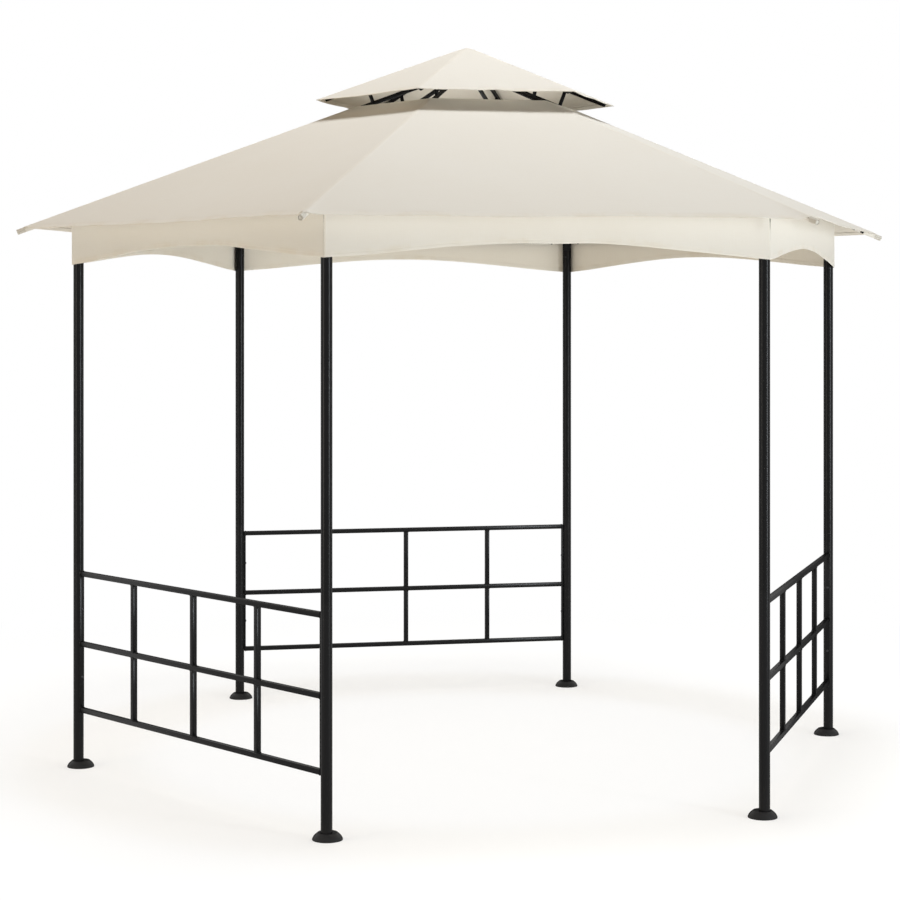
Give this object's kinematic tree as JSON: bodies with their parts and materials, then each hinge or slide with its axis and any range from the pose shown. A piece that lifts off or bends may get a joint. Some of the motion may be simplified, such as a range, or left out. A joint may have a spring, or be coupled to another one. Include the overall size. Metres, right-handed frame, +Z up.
{
  "type": "garden gazebo",
  "caption": "Hexagonal garden gazebo: black tube posts on flared feet, railings on alternate sides, cream two-tier fabric roof with a vent and an arched hanging valance.",
  "frame": {"origin": "on the ground at the centre of the hexagon", "axes": "+Z up, +X through the right-hand post, -Y out through the open front side"},
  "size_m": [3.3456, 2.9028, 2.6601],
  "materials": {
    "frame_tube": "black powder coat, satin",
    "railing_steel": "black powder coat, satin",
    "foot_moulding": "black moulded plastic, matt",
    "bracket_moulding": "black moulded plastic, matt",
    "canopy_fabric": "cream woven polyester, matt"
  },
  "bodies": {
    "root": {"post_right": "frame_tube", "foot_right": "foot_moulding", "corner_bracket_right": "bracket_moulding", "rafter_right": "frame_tube", "cap_rafter_right": "frame_tube", "post_back_right": "frame_tube", "foot_back_right": "foot_moulding", "corner_bracket_back_right": "bracket_moulding", "rafter_back_right": "frame_tube", "cap_rafter_back_right": "frame_tube", "post_back_left": "frame_tube", "foot_back_left": "foot_moulding", "corner_bracket_back_left": "bracket_moulding", "rafter_back_left": "frame_tube", "cap_rafter_back_left": "frame_tube", "post_left": "frame_tube", "foot_left": "foot_moulding", "corner_bracket_left": "bracket_moulding", "rafter_left": "frame_tube", "cap_rafter_left": "frame_tube", "post_front_left": "frame_tube", "foot_front_left": "foot_moulding", "corner_bracket_front_left": "bracket_moulding", "rafter_front_left": "frame_tube", "cap_rafter_front_left": "frame_tube", "post_front_right": "frame_tube", "foot_front_right": "foot_moulding", "corner_bracket_front_right": "bracket_moulding", "rafter_front_right": "frame_tube", "cap_rafter_front_right": "frame_tube", "eave_beam_right_back": "frame_tube", "eave_beam_back": "frame_tube", "eave_beam_left_back": "frame_tube", "eave_beam_left_front": "frame_tube", "eave_beam_front": "frame_tube", "eave_beam_right_front": "frame_tube", "railing_back": "railing_steel", "railing_left_front": "railing_steel", "railing_right_front": "railing_steel", "crown_hub": "bracket_moulding", "cap_hub": "bracket_moulding", "main_canopy": "canopy_fabric", "upper_canopy": "canopy_fabric", "valance": "canopy_fabric", "corner_sleeves": "canopy_fabric"}
  },
  "joints": []
}
